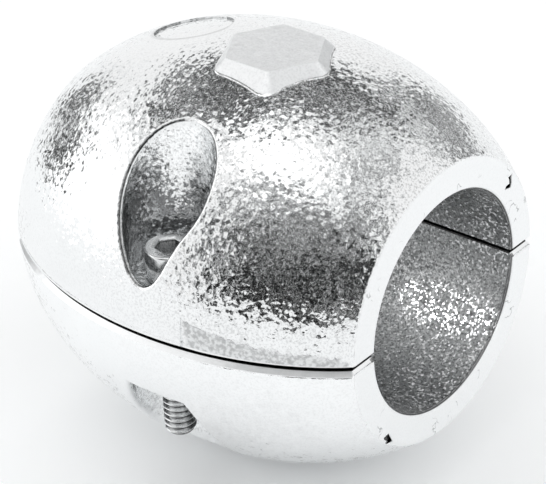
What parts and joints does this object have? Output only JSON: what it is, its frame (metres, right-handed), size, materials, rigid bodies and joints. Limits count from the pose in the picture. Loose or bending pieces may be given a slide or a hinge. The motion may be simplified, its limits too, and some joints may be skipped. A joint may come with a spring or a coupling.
{
  "type": "sacrificial anode",
  "caption": "Egg-shaped split-collar zinc anode that clamps round a propeller shaft with socket head cap screws sunk in side pockets.",
  "frame": {"origin": "middle of the shaft bore, on its axis, halfway between the end faces", "axes": "+X along the shaft bore towards the end nearer the screws; the halves part on the XY plane; +Z through the crown of the upper half, the side the screw heads are on"},
  "size_m": [0.084, 0.0856, 0.0862],
  "materials": {
    "zinc": null,
    "stainless": "plain stainless steel fastener"
  },
  "bodies": {
    "root": {"upper_half": "zinc", "lower_half": "zinc", "near_screw": "stainless", "far_screw": "stainless"}
  },
  "joints": []
}
